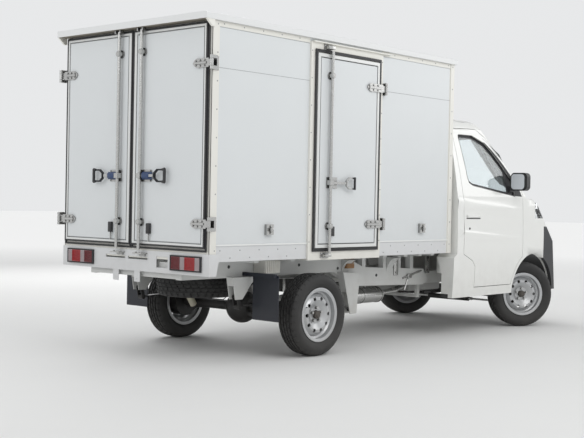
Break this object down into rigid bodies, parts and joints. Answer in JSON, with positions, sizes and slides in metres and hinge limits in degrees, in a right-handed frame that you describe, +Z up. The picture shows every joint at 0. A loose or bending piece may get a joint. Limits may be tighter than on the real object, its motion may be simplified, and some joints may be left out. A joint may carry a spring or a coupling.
{
  "type": "mini truck with insulated box body",
  "caption": "Mini truck with a short-nosed cab, an insulated box body, double rear doors, a side door and steerable rolling wheels.",
  "frame": {"origin": "on the ground under the middle of the overall box of the truck", "axes": "+Z up, the front of the truck towards -Y, the truck's left side towards +X"},
  "size_m": [1.933, 4.83, 2.3318],
  "materials": {
    "cab_paint": "gloss",
    "box_panel": "satin",
    "box_trim": "satin",
    "roof_panel": "satin",
    "rail_paint": "satin",
    "glass": "gloss",
    "lamp_clear": "gloss",
    "lamp_red": "gloss",
    "bumper_plastic": "matte",
    "black_plastic": "matte",
    "dash_plastic": "matte",
    "seat_fabric": "matte",
    "chassis_paint": "satin",
    "black_paint": "satin",
    "wheel_paint": "satin",
    "tyre": "matte",
    "flap_rubber": "matte",
    "cast_aluminium": "satin",
    "cast_iron": "matte",
    "zinc": "satin"
  },
  "bodies": {
    "chassis": {"cab_shell": "cab_paint", "cab_glass": "glass", "headlamps": "lamp_clear", "front_bumper": "bumper_plastic", "dashboard": "dash_plastic", "seats": "seat_fabric", "frame": "chassis_paint", "front_suspension": "black_paint", "rear_axle": "black_paint", "rear_suspension": "black_paint", "engine": "cast_aluminium", "driveline": "cast_aluminium", "exhaust": "zinc", "fuel_tank": "black_paint", "spare_wheel": "tyre", "mud_flaps": "flap_rubber", "rear_panel": "rail_paint", "tail_lamps": "lamp_red", "box_floor": "rail_paint", "box_side_left": "box_panel", "box_side_right": "box_panel", "box_front": "box_trim", "box_roof": "roof_panel", "box_rear_frame": "box_trim", "side_door_frame": "box_trim", "box_hardware": "zinc"},
    "knuckle_right": {"knuckle_right": "cast_iron"},
    "knuckle_left": {"knuckle_left": "cast_iron"},
    "wheel_front_right": {"tyre_front_right": "tyre", "rim_front_right": "wheel_paint"},
    "wheel_front_left": {"tyre_front_left": "tyre", "rim_front_left": "wheel_paint"},
    "wheel_rear_right": {"tyre_rear_right": "tyre", "rim_rear_right": "wheel_paint"},
    "wheel_rear_left": {"tyre_rear_left": "tyre", "rim_rear_left": "wheel_paint"},
    "steering_rack": {"steering_rack": "zinc"},
    "steering_wheel": {"steering_wheel": "black_plastic"},
    "cab_door_right": {"cab_door_right": "cab_paint", "door_glass_right": "glass", "mirror_right": "black_plastic"},
    "cab_door_left": {"cab_door_left": "cab_paint", "door_glass_left": "glass", "mirror_left": "black_plastic"},
    "bonnet": {"bonnet": "cab_paint"},
    "rear_door_right": {"rear_door_right": "box_panel", "rear_lock_right": "zinc"},
    "rear_door_left": {"rear_door_left": "box_panel", "rear_lock_left": "zinc"},
    "side_door": {"side_door": "box_panel", "side_lock": "zinc"}
  },
  "joints": [
    {"name": "steer_right", "type": "hinge", "parent": "chassis", "child": "knuckle_right", "pos_m": [-0.61, -1.825, 0.3], "axis": [0, 0, 1], "range_deg": [-3, 69]},
    {"name": "steer_left", "type": "hinge", "parent": "chassis", "child": "knuckle_left", "pos_m": [0.61, -1.825, 0.3], "axis": [0, 0, 1], "range_deg": [-3, 69]},
    {"name": "spin_front_right", "type": "hinge", "parent": "knuckle_right", "child": "wheel_front_right", "pos_m": [-0.6939, -1.7705, 0.3], "axis": [0.8387, -0.5446, 0], "continuous": true},
    {"name": "spin_front_left", "type": "hinge", "parent": "knuckle_left", "child": "wheel_front_left", "pos_m": [0.6939, -1.8795, 0.3], "axis": [0.8387, -0.5446, 0], "continuous": true},
    {"name": "spin_rear_right", "type": "hinge", "parent": "chassis", "child": "wheel_rear_right", "pos_m": [-0.71, 1.225, 0.3], "axis": [1, 0, 0], "continuous": true},
    {"name": "spin_rear_left", "type": "hinge", "parent": "chassis", "child": "wheel_rear_left", "pos_m": [0.71, 1.225, 0.3], "axis": [1, 0, 0], "continuous": true},
    {"name": "rack_slide", "type": "slide", "parent": "chassis", "child": "steering_rack", "axis": [1, 0, 0], "range_m": [-0.142, 0.008]},
    {"name": "wheel_turn", "type": "hinge", "parent": "chassis", "child": "steering_wheel", "pos_m": [0.37, -1.235, 1.035], "axis": [0, 0.6428, 0.766], "range_deg": [-49, 1105]},
    {"name": "cab_door_right_hinge", "type": "hinge", "parent": "chassis", "child": "cab_door_right", "pos_m": [-0.815, -1.6, 0.9], "axis": [0, 0, 1], "range_deg": [0, 65]},
    {"name": "cab_door_left_hinge", "type": "hinge", "parent": "chassis", "child": "cab_door_left", "pos_m": [0.815, -1.6, 0.9], "axis": [0, 0, -1], "range_deg": [0, 65]},
    {"name": "bonnet_hinge", "type": "hinge", "parent": "chassis", "child": "bonnet", "pos_m": [0, -1.977, 1.16], "axis": [-1, 0, 0], "range_deg": [0, 50]},
    {"name": "rear_door_right_hinge", "type": "hinge", "parent": "chassis", "child": "rear_door_right", "pos_m": [-0.795, 2.37, 1.5], "axis": [0, 0, 1], "range_deg": [0, 255]},
    {"name": "rear_door_left_hinge", "type": "hinge", "parent": "chassis", "child": "rear_door_left", "pos_m": [0.795, 2.37, 1.5], "axis": [0, 0, -1], "range_deg": [0, 255]},
    {"name": "side_door_hinge", "type": "hinge", "parent": "chassis", "child": "side_door", "pos_m": [-0.797, 0.498, 1.5], "axis": [0, 0, 1], "range_deg": [0, 165]}
  ],
  "couplings": [
    {"joint": "steer_left", "follows": "steer_right", "ratio": 1},
    {"joint": "rack_slide", "follows": "steer_right", "m_per_rad": -0.113},
    {"joint": "wheel_turn", "follows": "steer_right", "ratio": 16}
  ]
}
